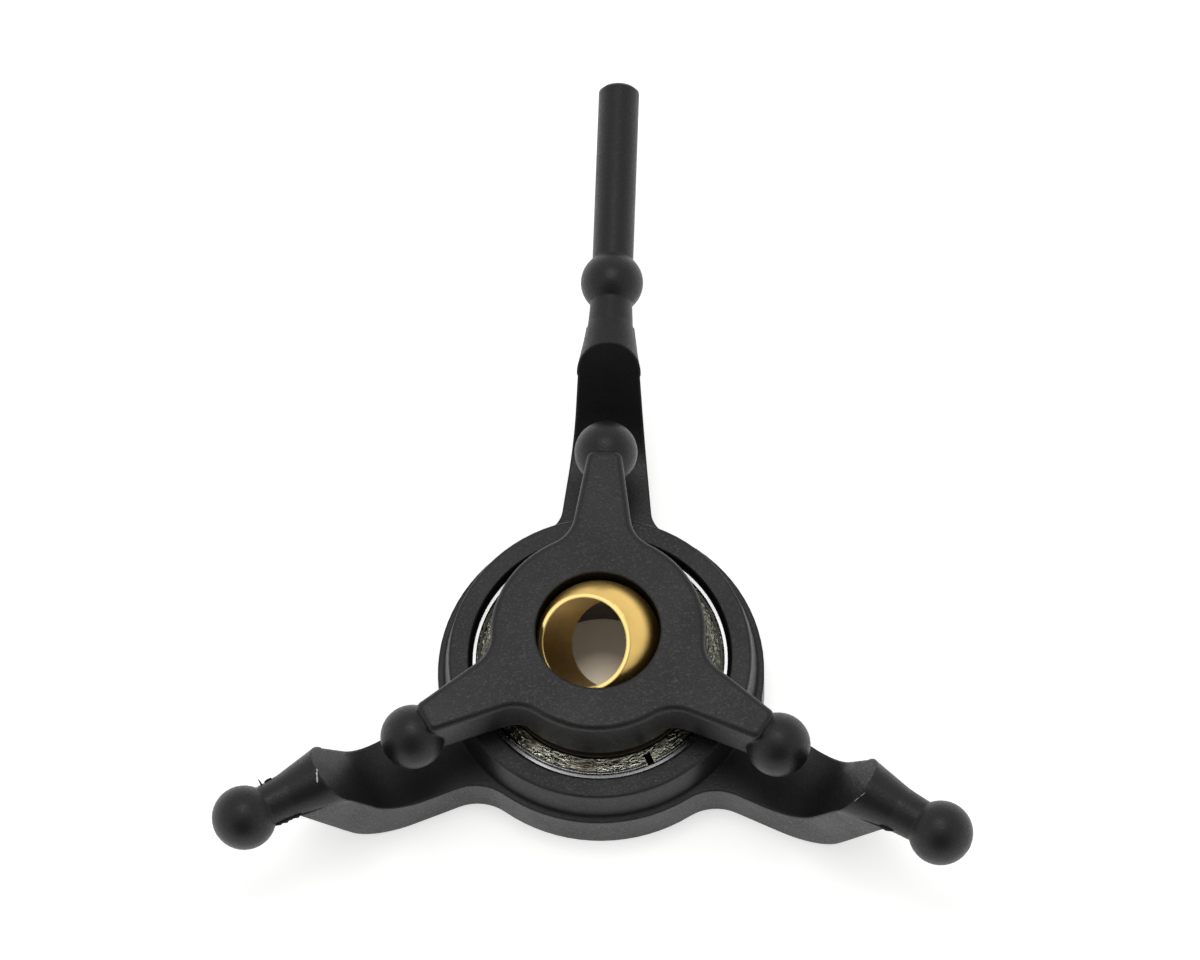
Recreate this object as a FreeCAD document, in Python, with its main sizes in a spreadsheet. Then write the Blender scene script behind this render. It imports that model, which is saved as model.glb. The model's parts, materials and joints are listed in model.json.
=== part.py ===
import FreeCAD, Part
import math
import os
import Sketcher

# Swashplate of a small radio-controlled helicopter with a three-blade head.
# The lower ring stays still and carries three link balls and the anti-rotation pin. The star turns
# with the rotor on a shielded ball bearing, and the uniball in the star slides on the main shaft.
# Millimetres and degrees. +Z is up the main shaft, +Y points along the pin, and the origin is the
# tilt centre, the middle of the uniball. Heights are measured from the lower ring's underside, or
# in the bearing from its middle.

SIZES = {
    "link_ball_diameter": 3.6,
    "press_gap": 0.01,
    # bearing
    "bearing_bore_radius": 5.0,
    "bearing_width": 4.0,
    "bearing_setback": 0.4,
    "inner_race_wall": 0.92,
    "outer_race_rim": 0.5,
    "shield_width": 0.99,
    "shield_gap": 0.08,
    "shield_ledge": 0.17,
    "shield_seat_depth": 0.3,
    "shield_thickness": 0.15,
    "shield_notch_depth": 0.74,
    "shield_notch_width": 0.4,
    "snap_ring_width": 0.14,
    "snap_ring_thickness": 0.13,
    "snap_ring_gap": 0.06,
    "snap_ring_opening": 5,
    "snap_ring_heading": -63.5,
    # lower ring
    "flange_thickness": 2.8,
    "flange_step": 0.34,
    "collar_wall": 1.07,
    "collar_draft": 0.36,
    "collar_bevel": 0.08,
    "lip_reach": 0.09,
    "lip_thickness": 0.5,
    # arms of the lower ring; a setback is measured from the ball's centre towards the hub
    "outer_ball_circle": 22.3,
    "outer_ball_rise": 0.5,
    "arm_root_half_width": 2.66,
    "arm_middle_half_width": 1.7,
    "arm_tip_half_width": 1.31,
    "arm_middle_setback": 5.0,
    "arm_root_fillet": 1.5,
    "front_root_fillet": 2.7,
    "ramp_setback": 8.0,
    "ramp_angle": 61,
    "ramp_fillet": 3.5,
    "heel_setback": 6.64,
    "heel_angle": 62,
    "heel_round": 4.2,
    "taper_overrun": 0.4,
    "neck_length": 5.7,
    "neck_start_radius": 1.86,
    "neck_waist_setback": 2.7,
    "neck_waist_radius": 1.29,
    "neck_end_radius": 1.21,
    "neck_cover": 0.1,
    "pin_radius": 1.18,
    "pin_length": 12.5,
    "pin_tip_bevel": 0.2,
    # star
    "tilt_rise": 1.9,
    "plate_rise": 1.94,
    "plate_thickness": 2.8,
    "hub_step": 0.63,
    "hub_gap": 0.4,
    "seat_width": 0.4,
    "sleeve_foot_height": 0.3,
    "sleeve_foot_wall": 0.74,
    "socket_clearance": 0.03,
    "mouth_undercut": 0.06,
    "throat_undercut": 0.28,
    "star_ball_circle": 11.8,
    "star_arm_inset": 1.33,
    "star_arm_sink": 1.1,
    "star_arm_root_half_width": 1.95,
    "star_arm_tip_half_width": 1.02,
    "star_arm_tip_round": 0.5,
    "star_arm_fillet": 2.0,
    "star_edge_round": 0.36,
    "star_neck_root_radius": 0.8,
    "star_neck_radius": 1.3,
    "star_neck_length": 1.0,
    # uniball
    "uniball_radius": 3.55,
    "uniball_bore_radius": 2.5,
    "uniball_rim_width": 0.28,
    "uniball_lean": 29,
    "uniball_lean_heading": -133,
}

# Sizes and places that follow from those above.
PLACES = {
    "link_ball_radius": "Sizes.link_ball_diameter / 2",
    # bearing
    "bearing_half_width": "Sizes.bearing_width / 2",
    "inner_land_radius": "Sizes.bearing_bore_radius + Sizes.inner_race_wall",
    "shield_inner_radius": "inner_land_radius + Sizes.shield_gap",
    "shield_outer_radius": "shield_inner_radius + Sizes.shield_width",
    "shield_seat_radius": "shield_outer_radius + Sizes.press_gap",
    "shield_seat_height": "bearing_half_width - Sizes.shield_seat_depth",
    "shield_top": "shield_seat_height + Sizes.shield_thickness",
    "shield_notch_radius": "shield_outer_radius - Sizes.shield_notch_depth",
    "shield_notch_side": "Sizes.shield_notch_width / 2",
    "outer_land_radius": "shield_seat_radius - Sizes.shield_ledge",
    "bearing_outer_radius": "shield_seat_radius + Sizes.outer_race_rim",
    "snap_ring_outer_radius": "shield_seat_radius - Sizes.snap_ring_gap",
    "snap_ring_inner_radius": "snap_ring_outer_radius - Sizes.snap_ring_width",
    "snap_ring_top": "shield_top + Sizes.snap_ring_thickness",
    "snap_ring_turn": "360 - Sizes.snap_ring_opening",
    # lower ring
    "pocket_radius": "bearing_outer_radius + Sizes.press_gap",
    "pocket_height": "Sizes.bearing_setback + Sizes.bearing_width",
    "collar_height": "pocket_height + Sizes.lip_thickness",
    "collar_top_radius": "bearing_outer_radius + Sizes.collar_wall",
    "collar_foot_radius": "collar_top_radius + Sizes.collar_draft",
    "collar_bevel_radius": "collar_top_radius - Sizes.collar_bevel",
    "collar_bevel_height": "collar_height - Sizes.collar_bevel",
    "lip_radius": "bearing_outer_radius - Sizes.lip_reach",
    "flange_radius": "collar_foot_radius + Sizes.flange_step",
    # arms of the lower ring
    "tilt_centre_height": "collar_height + Sizes.tilt_rise",
    "bearing_lift": "Sizes.bearing_setback + bearing_half_width - tilt_centre_height",
    "outer_ball_height": "tilt_centre_height + Sizes.outer_ball_rise",
    "outer_ball_tip": "Sizes.outer_ball_circle + link_ball_radius",
    "arm_width": "2 * Sizes.arm_root_half_width",
    "arm_root": "(pocket_radius + flange_radius) / 2",
    "arm_corner": "sqrt(flange_radius^2 - Sizes.arm_root_half_width^2)",
    "arm_middle": "Sizes.outer_ball_circle - Sizes.arm_middle_setback",
    "block_height": "outer_ball_height - Sizes.neck_cover",
    "ramp_start": "Sizes.outer_ball_circle - Sizes.ramp_setback",
    "ramp_fillet_run": "Sizes.ramp_fillet * tan(Sizes.ramp_angle / 2 * 1deg)",
    "ramp_fillet_start": "ramp_start - ramp_fillet_run",
    "ramp_fillet_end": "ramp_start + ramp_fillet_run * cos(Sizes.ramp_angle * 1deg)",
    "ramp_fillet_top": "Sizes.flange_thickness + ramp_fillet_run * sin(Sizes.ramp_angle * 1deg)",
    "ramp_block_end":
        "ramp_start + (block_height - Sizes.flange_thickness) / tan(Sizes.ramp_angle * 1deg)",
    "ramp_clear_height": "outer_ball_height + 2 * Sizes.neck_start_radius",
    "ramp_clear_end":
        "ramp_start + (ramp_clear_height - Sizes.flange_thickness) / tan(Sizes.ramp_angle * 1deg)",
    "heel_start": "Sizes.outer_ball_circle - Sizes.heel_setback",
    "heel_run": "Sizes.heel_round * tan(Sizes.heel_angle / 2 * 1deg)",
    "heel_round_start": "heel_start - heel_run",
    "heel_round_end": "heel_start + heel_run * cos(Sizes.heel_angle * 1deg)",
    "heel_round_top": "heel_run * sin(Sizes.heel_angle * 1deg)",
    "heel_block_end": "heel_start + block_height / tan(Sizes.heel_angle * 1deg)",
    "taper_end": "heel_block_end + Sizes.taper_overrun",
    "neck_start": "Sizes.outer_ball_circle - Sizes.neck_length",
    "neck_waist": "Sizes.outer_ball_circle - Sizes.neck_waist_setback",
    "neck_end": "Sizes.outer_ball_circle - sqrt(link_ball_radius^2 - Sizes.neck_end_radius^2)",
    "pin_reach": "Sizes.outer_ball_circle + Sizes.pin_length",
    "pin_bevel_start": "pin_reach - Sizes.pin_tip_bevel",
    "pin_tip_radius": "Sizes.pin_radius - Sizes.pin_tip_bevel",
    # star
    "plate_height": "tilt_centre_height + Sizes.plate_rise",
    "plate_foot_height": "plate_height - Sizes.plate_thickness",
    "seat_radius": "Sizes.bearing_bore_radius + Sizes.seat_width",
    "hub_radius": "seat_radius + Sizes.hub_step",
    "hub_foot_height": "collar_height + Sizes.hub_gap",
    "sleeve_radius": "Sizes.bearing_bore_radius - Sizes.press_gap",
    "sleeve_relief_radius": "sleeve_radius - Sizes.sleeve_foot_wall",
    "socket_radius": "Sizes.uniball_radius + Sizes.socket_clearance",
    "mouth_radius": "socket_radius - Sizes.mouth_undercut",
    "mouth_height": "tilt_centre_height + sqrt(socket_radius^2 - mouth_radius^2)",
    "throat_radius": "socket_radius - Sizes.throat_undercut",
    "throat_height": "tilt_centre_height - sqrt(socket_radius^2 - throat_radius^2)",
    "star_arm_root": "hub_radius - Sizes.star_arm_inset",
    "star_arm_end": "Sizes.star_ball_circle - link_ball_radius + Sizes.star_arm_sink",
    "star_arm_shoulder": "star_arm_end - Sizes.star_arm_tip_round",
    "star_arm_nose_half_width": "Sizes.star_arm_tip_half_width - Sizes.star_arm_tip_round",
    "star_neck_start": "star_arm_end - Sizes.star_neck_length",
    "star_neck_end": "Sizes.star_ball_circle - sqrt(link_ball_radius^2 - Sizes.star_neck_radius^2)",
    "star_ball_tip": "Sizes.star_ball_circle + link_ball_radius",
    # uniball
    "uniball_rim_radius": "Sizes.uniball_bore_radius + Sizes.uniball_rim_width",
    "rim_height": "sqrt(Sizes.uniball_radius^2 - uniball_rim_radius^2)",
}

ARM_COUNT = 3

doc = FreeCAD.newDocument("Swashplate")


def make_sheet(name, cells):
    """One row per size: its name, and its number or formula under the same alias."""
    sheet = doc.addObject("Spreadsheet::Sheet", name)
    for row, (alias, content) in enumerate(cells.items(), 1):
        sheet.set(f"A{row}", alias)
        sheet.set(f"B{row}", content)
        sheet.setAlias(f"B{row}", alias)
    doc.recompute()
    return sheet


sizes = make_sheet("Sizes", {alias: str(size) for alias, size in SIZES.items()})
places = make_sheet("Places", {alias: "=" + formula for alias, formula in PLACES.items()})


# ---- sketches and features --------------------------------------------------------------------

def number(name):
    """The value of an alias of either sheet, with a minus sign in front if it has one."""
    if name == "0":
        return 0.0
    alias = name.lstrip("-")
    value = float(sizes.get(alias) if alias in SIZES else places.get(alias))
    return -value if name.startswith("-") else value


def expression(name):
    """The expression that reads such an alias."""
    alias = name.lstrip("-")
    sign = name[:len(name) - len(alias)]
    return f"{sign}{'Sizes' if alias in SIZES else 'Places'}.{alias}"


def make_body(label, height):
    body = doc.addObject("PartDesign::Body", label)
    body.Label = label
    body.setExpression("Placement.Base.z", expression(height))
    return body


def origin_feature(body, role):
    return next(item for item in body.Origin.OriginFeatures if item.Role == role)


def make_sketch(body, name, plane="XZ_Plane", height=None):
    """A sketch on one of the body's planes; height lifts its origin along the Z axis."""
    sketch = body.newObject("Sketcher::SketchObject", name)
    sketch.AttachmentSupport = (origin_feature(body, plane), "")
    sketch.MapMode = "FlatFace"
    if height:
        lift = "z" if plane == "XY_Plane" else "y"
        sketch.setExpression(f"AttachmentOffset.Base.{lift}", expression(height))
    return sketch


def bind(sketch, kind, items, name):
    """Add a dimension that follows a named size."""
    index = sketch.addConstraint(Sketcher.Constraint(kind, *items, number(name)))
    sketch.setExpression(f"Constraints[{index}]", expression(name))


def fix_corner(sketch, edge, end, across, up):
    """Tie one end of an edge to the sketch's axes; "0" puts it on the axis itself."""
    for name, kind, axis in ((across, "DistanceX", -2), (up, "DistanceY", -1)):
        if name == "0":
            sketch.addConstraint(Sketcher.Constraint("PointOnObject", edge, end, axis))
        else:
            bind(sketch, kind, (-1, 1, edge, end), name)


def arc_between(start, end, radius, left):
    """The shorter arc from start to end, bulging to the left or right of the way there."""
    chord = end - start
    side = FreeCAD.Vector(-chord.y, chord.x, 0).normalize() * (1 if left else -1)
    drop = math.sqrt(max(radius ** 2 - (chord.Length / 2) ** 2, 0))
    return Part.Arc(start, (start + end) / 2 + side * (radius - drop), end)


def draw_outline(sketch, corners, arcs=None):
    """Close an outline through corners given by named distances from the sketch's axes.

    arcs gives the edge that leaves a corner, by that corner's place in the list, a radius and
    whether it bulges to the left.
    """
    arcs = arcs or {}
    points = [FreeCAD.Vector(number(across), number(up), 0) for across, up in corners]
    edges = []
    for place, point in enumerate(points):
        after = points[(place + 1) % len(points)]
        start = 1
        if place in arcs:
            radius, left = arcs[place]
            edge = sketch.addGeometry(arc_between(point, after, number(radius), left), False)
            bind(sketch, "Radius", (edge,), radius)
            start = 1 if sketch.getPoint(edge, 1).isEqual(point, 1e-4) else 2
        else:
            edge = sketch.addGeometry(Part.LineSegment(point, after), False)
        edges.append((edge, start))
    for place, (edge, start) in enumerate(edges):
        before, before_start = edges[place - 1]
        sketch.addConstraint(Sketcher.Constraint("Coincident", before, 3 - before_start, edge, start))
        fix_corner(sketch, edge, start, *corners[place])


def add_feature(body, kind, name, sketch, bindings=None, **settings):
    """A sketch-based feature, checked to have added or cut what its kind should."""
    before = body.Tip.Shape.Volume if body.Tip else 0
    feature = body.newObject("PartDesign::" + kind, name)
    feature.Profile = sketch
    for setting, content in settings.items():
        setattr(feature, setting, content)
    for setting, size in (bindings or {}).items():
        feature.setExpression(setting, expression(size))
    doc.recompute()
    change = feature.Shape.Volume - before
    if change * (-1 if kind == "Pocket" else 1) <= 0:
        raise RuntimeError(f"{body.Label}: {name} changed the volume by {change:.4f}")
    return feature


def revolve(body, name, sketch, axis="V_Axis", bindings=None):
    return add_feature(body, "Revolution", name, sketch, bindings, ReferenceAxis=(sketch, [axis]))


def pattern(body, name, features, copies):
    """Repeat features evenly round the body's Z axis."""
    polar = body.newObject("PartDesign::PolarPattern", name)
    polar.Originals = features
    polar.Axis = (origin_feature(body, "Z_Axis"), [""])
    polar.Angle = 360
    polar.Occurrences = copies
    body.Tip = polar
    doc.recompute()


def fillet(body, name, radius, wanted):
    """Round the edges that pass the test; a seam, with one face only, is no edge."""
    base = body.Tip
    edges = [f"Edge{place}" for place, edge in enumerate(base.Shape.Edges, 1)
             if len(base.Shape.ancestorsOfType(edge, Part.Face)) > 1 and wanted(edge)]
    if not edges:
        raise RuntimeError(f"{body.Label}: {name} found no edge")
    feature = body.newObject("PartDesign::Fillet", name)
    feature.Base = (base, edges)
    feature.setExpression("Radius", expression(radius))
    doc.recompute()
    if feature.Shape.isNull():
        raise RuntimeError(f"{body.Label}: {name} failed")


def radius_of(edge):
    """How far an edge's first corner is from the Z axis."""
    point = edge.Vertexes[0].Point
    return math.hypot(point.x, point.y)


def is_upright(edge, radius):
    """Whether an edge is a line along Z at that radius."""
    box = edge.BoundBox
    return max(box.XLength, box.YLength) < 1e-4 and abs(radius_of(edge) - radius) < 0.01


def is_front(edge):
    """Whether an edge lies between the two front arms."""
    return edge.Vertexes[0].Point.y < -number("flange_radius") / 2


def is_level(edge, height):
    box = edge.BoundBox
    return abs(box.ZMin - height) < 1e-4 and abs(box.ZMax - height) < 1e-4


# ---- lower ring -------------------------------------------------------------------------------

def add_ring(body):
    """Flange, collar and the lip that the bearing's outer race stops against."""
    sketch = make_sketch(body, "RingProfile")
    draw_outline(sketch, [
        ("pocket_radius", "0"), ("flange_radius", "0"),
        ("flange_radius", "flange_thickness"), ("collar_foot_radius", "flange_thickness"),
        ("collar_top_radius", "collar_bevel_height"), ("collar_bevel_radius", "collar_height"),
        ("lip_radius", "collar_height"), ("lip_radius", "pocket_height"),
        ("pocket_radius", "pocket_height"),
    ])
    revolve(body, "Ring", sketch)


def add_arm_strip(body):
    """The arm seen from the side: flat, then a ramp over a rounded heel."""
    sketch = make_sketch(body, "ArmSide", "YZ_Plane")
    draw_outline(sketch, [
        ("arm_root", "0"), ("heel_round_start", "0"), ("heel_round_end", "heel_round_top"),
        ("heel_block_end", "block_height"), ("ramp_block_end", "block_height"),
        ("ramp_fillet_end", "ramp_fillet_top"), ("ramp_fillet_start", "flange_thickness"),
        ("arm_root", "flange_thickness"),
    ], arcs={1: ("heel_round", False), 5: ("ramp_fillet", True)})
    return add_feature(body, "Pad", "ArmStrip", sketch, {"Length": "arm_width"},
                       SideType="Symmetric")


def add_arm_taper(body):
    """Narrow the strip from both sides towards the ball."""
    sketch = make_sketch(body, "ArmPlan", "XY_Plane")
    for sign in ("", "-"):
        draw_outline(sketch, [
            (sign + "arm_root_half_width", "arm_corner"),
            (sign + "arm_middle_half_width", "arm_middle"),
            (sign + "arm_tip_half_width", "taper_end"),
            (sign + "arm_width", "taper_end"),
            (sign + "arm_width", "arm_corner"),
        ])
    return add_feature(body, "Pocket", "ArmTaper", sketch, SideType="Symmetric", Type="ThroughAll")


def add_neck_and_ball(body):
    sketch = make_sketch(body, "NeckProfile", "YZ_Plane", "outer_ball_height")
    draw_outline(sketch, [
        ("neck_start", "0"), ("neck_start", "neck_start_radius"),
        ("neck_waist", "neck_waist_radius"), ("neck_end", "neck_end_radius"),
        ("outer_ball_tip", "0"),
    ], arcs={3: ("link_ball_radius", True)})
    return revolve(body, "NeckAndBall", sketch, "H_Axis")


def add_ramp(body):
    """Cut the neck's cone off where it stands out of the ramp."""
    sketch = make_sketch(body, "AboveRamp", "YZ_Plane")
    draw_outline(sketch, [
        ("ramp_fillet_end", "ramp_fillet_top"), ("ramp_clear_end", "ramp_clear_height"),
        ("ramp_fillet_end", "ramp_clear_height"),
    ])
    return add_feature(body, "Pocket", "Ramp", sketch, {"Length": "arm_width"},
                       SideType="Symmetric")


def add_pin(body):
    """The anti-rotation pin that runs on from the rear ball."""
    sketch = make_sketch(body, "PinProfile", "YZ_Plane", "outer_ball_height")
    draw_outline(sketch, [
        ("outer_ball_circle", "0"), ("outer_ball_circle", "pin_radius"),
        ("pin_bevel_start", "pin_radius"), ("pin_reach", "pin_tip_radius"), ("pin_reach", "0"),
    ])
    revolve(body, "Pin", sketch, "H_Axis")


def build_outer_ring():
    body = make_body("outer_ring", "-tilt_centre_height")
    add_ring(body)
    arm = [add_arm_strip(body), add_arm_taper(body), add_neck_and_ball(body), add_ramp(body)]
    pattern(body, "ThreeArms", arm, ARM_COUNT)
    add_pin(body)
    flange = number("flange_radius")
    fillet(body, "FrontRoots", "front_root_fillet",
           lambda edge: is_upright(edge, flange) and is_front(edge))
    fillet(body, "OtherRoots", "arm_root_fillet", lambda edge: is_upright(edge, flange))
    return body


# ---- star -------------------------------------------------------------------------------------

def add_hub(body):
    """Hub, seat and sleeve, round the uniball's socket and the shaft's relief below it."""
    sketch = make_sketch(body, "HubProfile")
    draw_outline(sketch, [
        ("sleeve_relief_radius", "sleeve_foot_height"), ("sleeve_radius", "sleeve_foot_height"),
        ("sleeve_radius", "pocket_height"), ("seat_radius", "pocket_height"),
        ("seat_radius", "hub_foot_height"), ("hub_radius", "hub_foot_height"),
        ("hub_radius", "plate_height"), ("mouth_radius", "plate_height"),
        ("mouth_radius", "mouth_height"), ("throat_radius", "throat_height"),
    ], arcs={8: ("socket_radius", True)})
    revolve(body, "Hub", sketch)


def add_star_arm(body):
    sketch = make_sketch(body, "StarArmPlan", "XY_Plane", "plate_foot_height")
    draw_outline(sketch, [
        ("star_arm_root_half_width", "star_arm_root"),
        ("star_arm_tip_half_width", "star_arm_shoulder"),
        ("star_arm_nose_half_width", "star_arm_end"),
        ("-star_arm_nose_half_width", "star_arm_end"),
        ("-star_arm_tip_half_width", "star_arm_shoulder"),
        ("-star_arm_root_half_width", "star_arm_root"),
    ], arcs={1: ("star_arm_tip_round", False), 3: ("star_arm_tip_round", False)})
    return add_feature(body, "Pad", "StarArm", sketch, {"Length": "plate_thickness"})


def add_star_ball(body):
    sketch = make_sketch(body, "StarBallProfile", "YZ_Plane", "tilt_centre_height")
    draw_outline(sketch, [
        ("star_neck_start", "0"), ("star_neck_start", "star_neck_root_radius"),
        ("star_neck_end", "star_neck_radius"), ("star_ball_tip", "0"),
    ], arcs={2: ("link_ball_radius", True)})
    return revolve(body, "StarBall", sketch, "H_Axis")


def build_star():
    body = make_body("star", "-tilt_centre_height")
    add_hub(body)
    pattern(body, "ThreeStarArms", [add_star_arm(body), add_star_ball(body)], ARM_COUNT)
    hub, top, mouth = number("hub_radius"), number("plate_height"), number("mouth_radius")
    fillet(body, "StarArmRoots", "star_arm_fillet", lambda edge: is_upright(edge, hub))
    fillet(body, "PlateEdge", "star_edge_round",
           lambda edge: is_level(edge, top) and radius_of(edge) > (hub + mouth) / 2)
    return body


# ---- uniball ----------------------------------------------------------------------------------

def build_uniball():
    """A bored ball, cut flat at both ends, that leans in its socket at rest."""
    body = doc.addObject("PartDesign::Body", "uniball")
    body.Label = "uniball"
    sketch = make_sketch(body, "UniballProfile")
    draw_outline(sketch, [
        ("uniball_bore_radius", "-rim_height"), ("uniball_rim_radius", "-rim_height"),
        ("uniball_rim_radius", "rim_height"), ("uniball_bore_radius", "rim_height"),
    ], arcs={1: ("uniball_radius", False)})
    revolve(body, "Ball", sketch)
    heading = math.radians(SIZES["uniball_lean_heading"])
    across = FreeCAD.Vector(-math.sin(heading), math.cos(heading), 0)
    body.Placement.Rotation = FreeCAD.Rotation(across, SIZES["uniball_lean"])
    return body


# ---- bearing ----------------------------------------------------------------------------------

def build_outer_race():
    """The race that stays with the lower ring, with a seat for a shield at each end."""
    body = make_body("bearing_outer_race", "bearing_lift")
    sketch = make_sketch(body, "OuterRaceProfile")
    draw_outline(sketch, [
        ("bearing_outer_radius", "-bearing_half_width"),
        ("bearing_outer_radius", "bearing_half_width"),
        ("shield_seat_radius", "bearing_half_width"), ("shield_seat_radius", "shield_seat_height"),
        ("outer_land_radius", "shield_seat_height"), ("outer_land_radius", "-shield_seat_height"),
        ("shield_seat_radius", "-shield_seat_height"),
        ("shield_seat_radius", "-bearing_half_width"),
    ])
    revolve(body, "OuterRace", sketch)
    return body


def build_washer(label, inner, outer, foot, top, bindings=None):
    """A flat ring of the bearing between two radii and two heights."""
    body = make_body(label, "bearing_lift")
    sketch = make_sketch(body, label + "_profile")
    draw_outline(sketch, [(inner, foot), (outer, foot), (outer, top), (inner, top)])
    revolve(body, label + "_turn", sketch, bindings=bindings)
    return body


def build_inner_race():
    """The race that turns with the star."""
    return build_washer("bearing_inner_race", "bearing_bore_radius", "inner_land_radius",
                        "-bearing_half_width", "bearing_half_width")


def turn_to(body, heading):
    body.Placement.Rotation = FreeCAD.Rotation(FreeCAD.Vector(0, 0, 1), heading)


def build_shield(label, sign):
    """The thin shield that leaves a gap round the inner race, with a notch to prise it out by."""
    body = build_washer(label, "shield_inner_radius", "shield_outer_radius",
                        sign + "shield_seat_height", sign + "shield_top")
    sketch = make_sketch(body, label + "_notch_plan", "XY_Plane")
    draw_outline(sketch, [
        ("shield_notch_radius", "-shield_notch_side"), ("bearing_outer_radius", "-shield_notch_side"),
        ("bearing_outer_radius", "shield_notch_side"), ("shield_notch_radius", "shield_notch_side"),
    ])
    add_feature(body, "Pocket", label + "_notch", sketch, SideType="Symmetric", Type="ThroughAll")
    turn_to(body, SIZES["snap_ring_heading"])
    return body


def build_snap_ring(label, sign):
    """The open ring that keeps a shield in its seat."""
    body = build_washer(label, "snap_ring_inner_radius", "snap_ring_outer_radius",
                        sign + "shield_top", sign + "snap_ring_top", {"Angle": "snap_ring_turn"})
    turn_to(body, SIZES["snap_ring_heading"] + SIZES["snap_ring_opening"] / 2)
    return body


# ---- the whole part ---------------------------------------------------------------------------

def build_all():
    nodes = [build_outer_ring(), build_star(), build_uniball(), build_outer_race(),
             build_inner_race()]
    for side, sign in (("upper", ""), ("lower", "-")):
        nodes.append(build_shield(side + "_shield", sign))
        nodes.append(build_snap_ring(side + "_snap_ring", sign))
    doc.recompute()
    return nodes


def check(nodes):
    """Stop if anything in the document failed or a sub-part isn't one sound solid."""
    for item in doc.Objects:
        if "Invalid" in item.State or "Error" in item.State:
            raise RuntimeError(f"{item.Label} failed: {item.State}")
    for node in nodes:
        shape = node.Shape
        if shape.isNull() or not shape.isValid() or len(shape.Solids) != 1:
            raise RuntimeError(f"{node.Label} is not one sound solid")


def export(nodes):
    os.makedirs("parts", exist_ok=True)
    for node in nodes:
        node.Shape.exportStep(f"parts/{node.Label}.step")
        box = node.Shape.BoundBox
        print(f"{node.Label:22s} {node.Shape.Volume:9.3f} mm3  z {box.ZMin:.2f} to {box.ZMax:.2f}")


all_nodes = build_all()
check(all_nodes)
export(all_nodes)
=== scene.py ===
import json
import math

import bmesh
import bpy
from bpy.props import FloatProperty, FloatVectorProperty, PointerProperty
from bpy.types import Operator, Panel, PropertyGroup
from mathutils import Matrix, Vector


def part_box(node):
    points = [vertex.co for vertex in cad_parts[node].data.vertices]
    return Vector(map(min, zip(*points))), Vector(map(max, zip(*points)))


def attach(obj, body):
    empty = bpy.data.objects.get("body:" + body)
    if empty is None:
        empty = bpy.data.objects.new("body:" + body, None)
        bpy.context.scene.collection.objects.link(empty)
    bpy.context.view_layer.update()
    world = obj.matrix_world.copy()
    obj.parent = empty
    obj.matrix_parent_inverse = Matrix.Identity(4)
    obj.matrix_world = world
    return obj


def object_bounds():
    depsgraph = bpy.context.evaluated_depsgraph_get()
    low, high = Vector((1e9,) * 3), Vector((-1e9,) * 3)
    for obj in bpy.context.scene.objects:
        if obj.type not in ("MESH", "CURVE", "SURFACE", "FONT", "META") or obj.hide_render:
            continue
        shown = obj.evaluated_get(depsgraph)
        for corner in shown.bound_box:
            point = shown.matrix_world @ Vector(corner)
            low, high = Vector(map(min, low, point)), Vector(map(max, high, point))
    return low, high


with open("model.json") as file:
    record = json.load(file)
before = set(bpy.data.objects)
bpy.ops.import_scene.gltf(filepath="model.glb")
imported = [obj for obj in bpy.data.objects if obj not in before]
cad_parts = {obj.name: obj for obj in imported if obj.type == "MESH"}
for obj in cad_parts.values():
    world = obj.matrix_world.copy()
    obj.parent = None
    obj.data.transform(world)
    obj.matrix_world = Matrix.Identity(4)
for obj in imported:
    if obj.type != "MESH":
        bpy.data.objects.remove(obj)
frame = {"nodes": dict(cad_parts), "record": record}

bl_info = {
    "name": "Helicopter Swashplate",
    "version": (1, 0, 0),
    "blender": (4, 5, 0),
    "location": "View3D > Sidebar > Swashplate",
    "description": "Finishes, moulding marks and studio for a model helicopter's swashplate",
    "category": "Object",
}

NODES = frame["nodes"]
CAD_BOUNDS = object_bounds()


# ---- settings ---------------------------------------------------------------------------------

class NylonFinish(PropertyGroup):
    """Black glass-filled nylon as it leaves the mould."""
    colour: FloatVectorProperty(
        name="Colour", description="Colour of the nylon between its flecks",
        subtype="COLOR", size=3, min=0, max=1, default=(0.0075, 0.0075, 0.0078))
    fleck_colour: FloatVectorProperty(
        name="Fleck colour", description="Colour of the glass flecks at the surface",
        subtype="COLOR", size=3, min=0, max=1, default=(0.0138, 0.0138, 0.018))
    roughness: FloatProperty(
        name="Roughness", description="Middle roughness of the moulded skin",
        subtype="FACTOR", min=0, max=1, default=0.42)
    fleck_roughness: FloatProperty(
        name="Fleck roughness", description="Roughness of the glass flecks",
        subtype="FACTOR", min=0, max=1, default=0.29)
    grain_size: FloatProperty(
        name="Grain size", description="Size of one grain of the skin",
        unit="LENGTH", min=0.00001, default=0.00012)
    grain_depth: FloatProperty(
        name="Grain depth", description="Height of the grain",
        unit="LENGTH", min=0, default=0.000018)
    edge_radius: FloatProperty(
        name="Edge radius", description="How softly the mould rounds its corners",
        unit="LENGTH", min=0, default=0.00022)
    lip_reach: FloatProperty(
        name="Lip reach", description="How far the ring's lip covers the bearing's rim",
        unit="LENGTH", min=0, default=0.00009)


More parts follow.
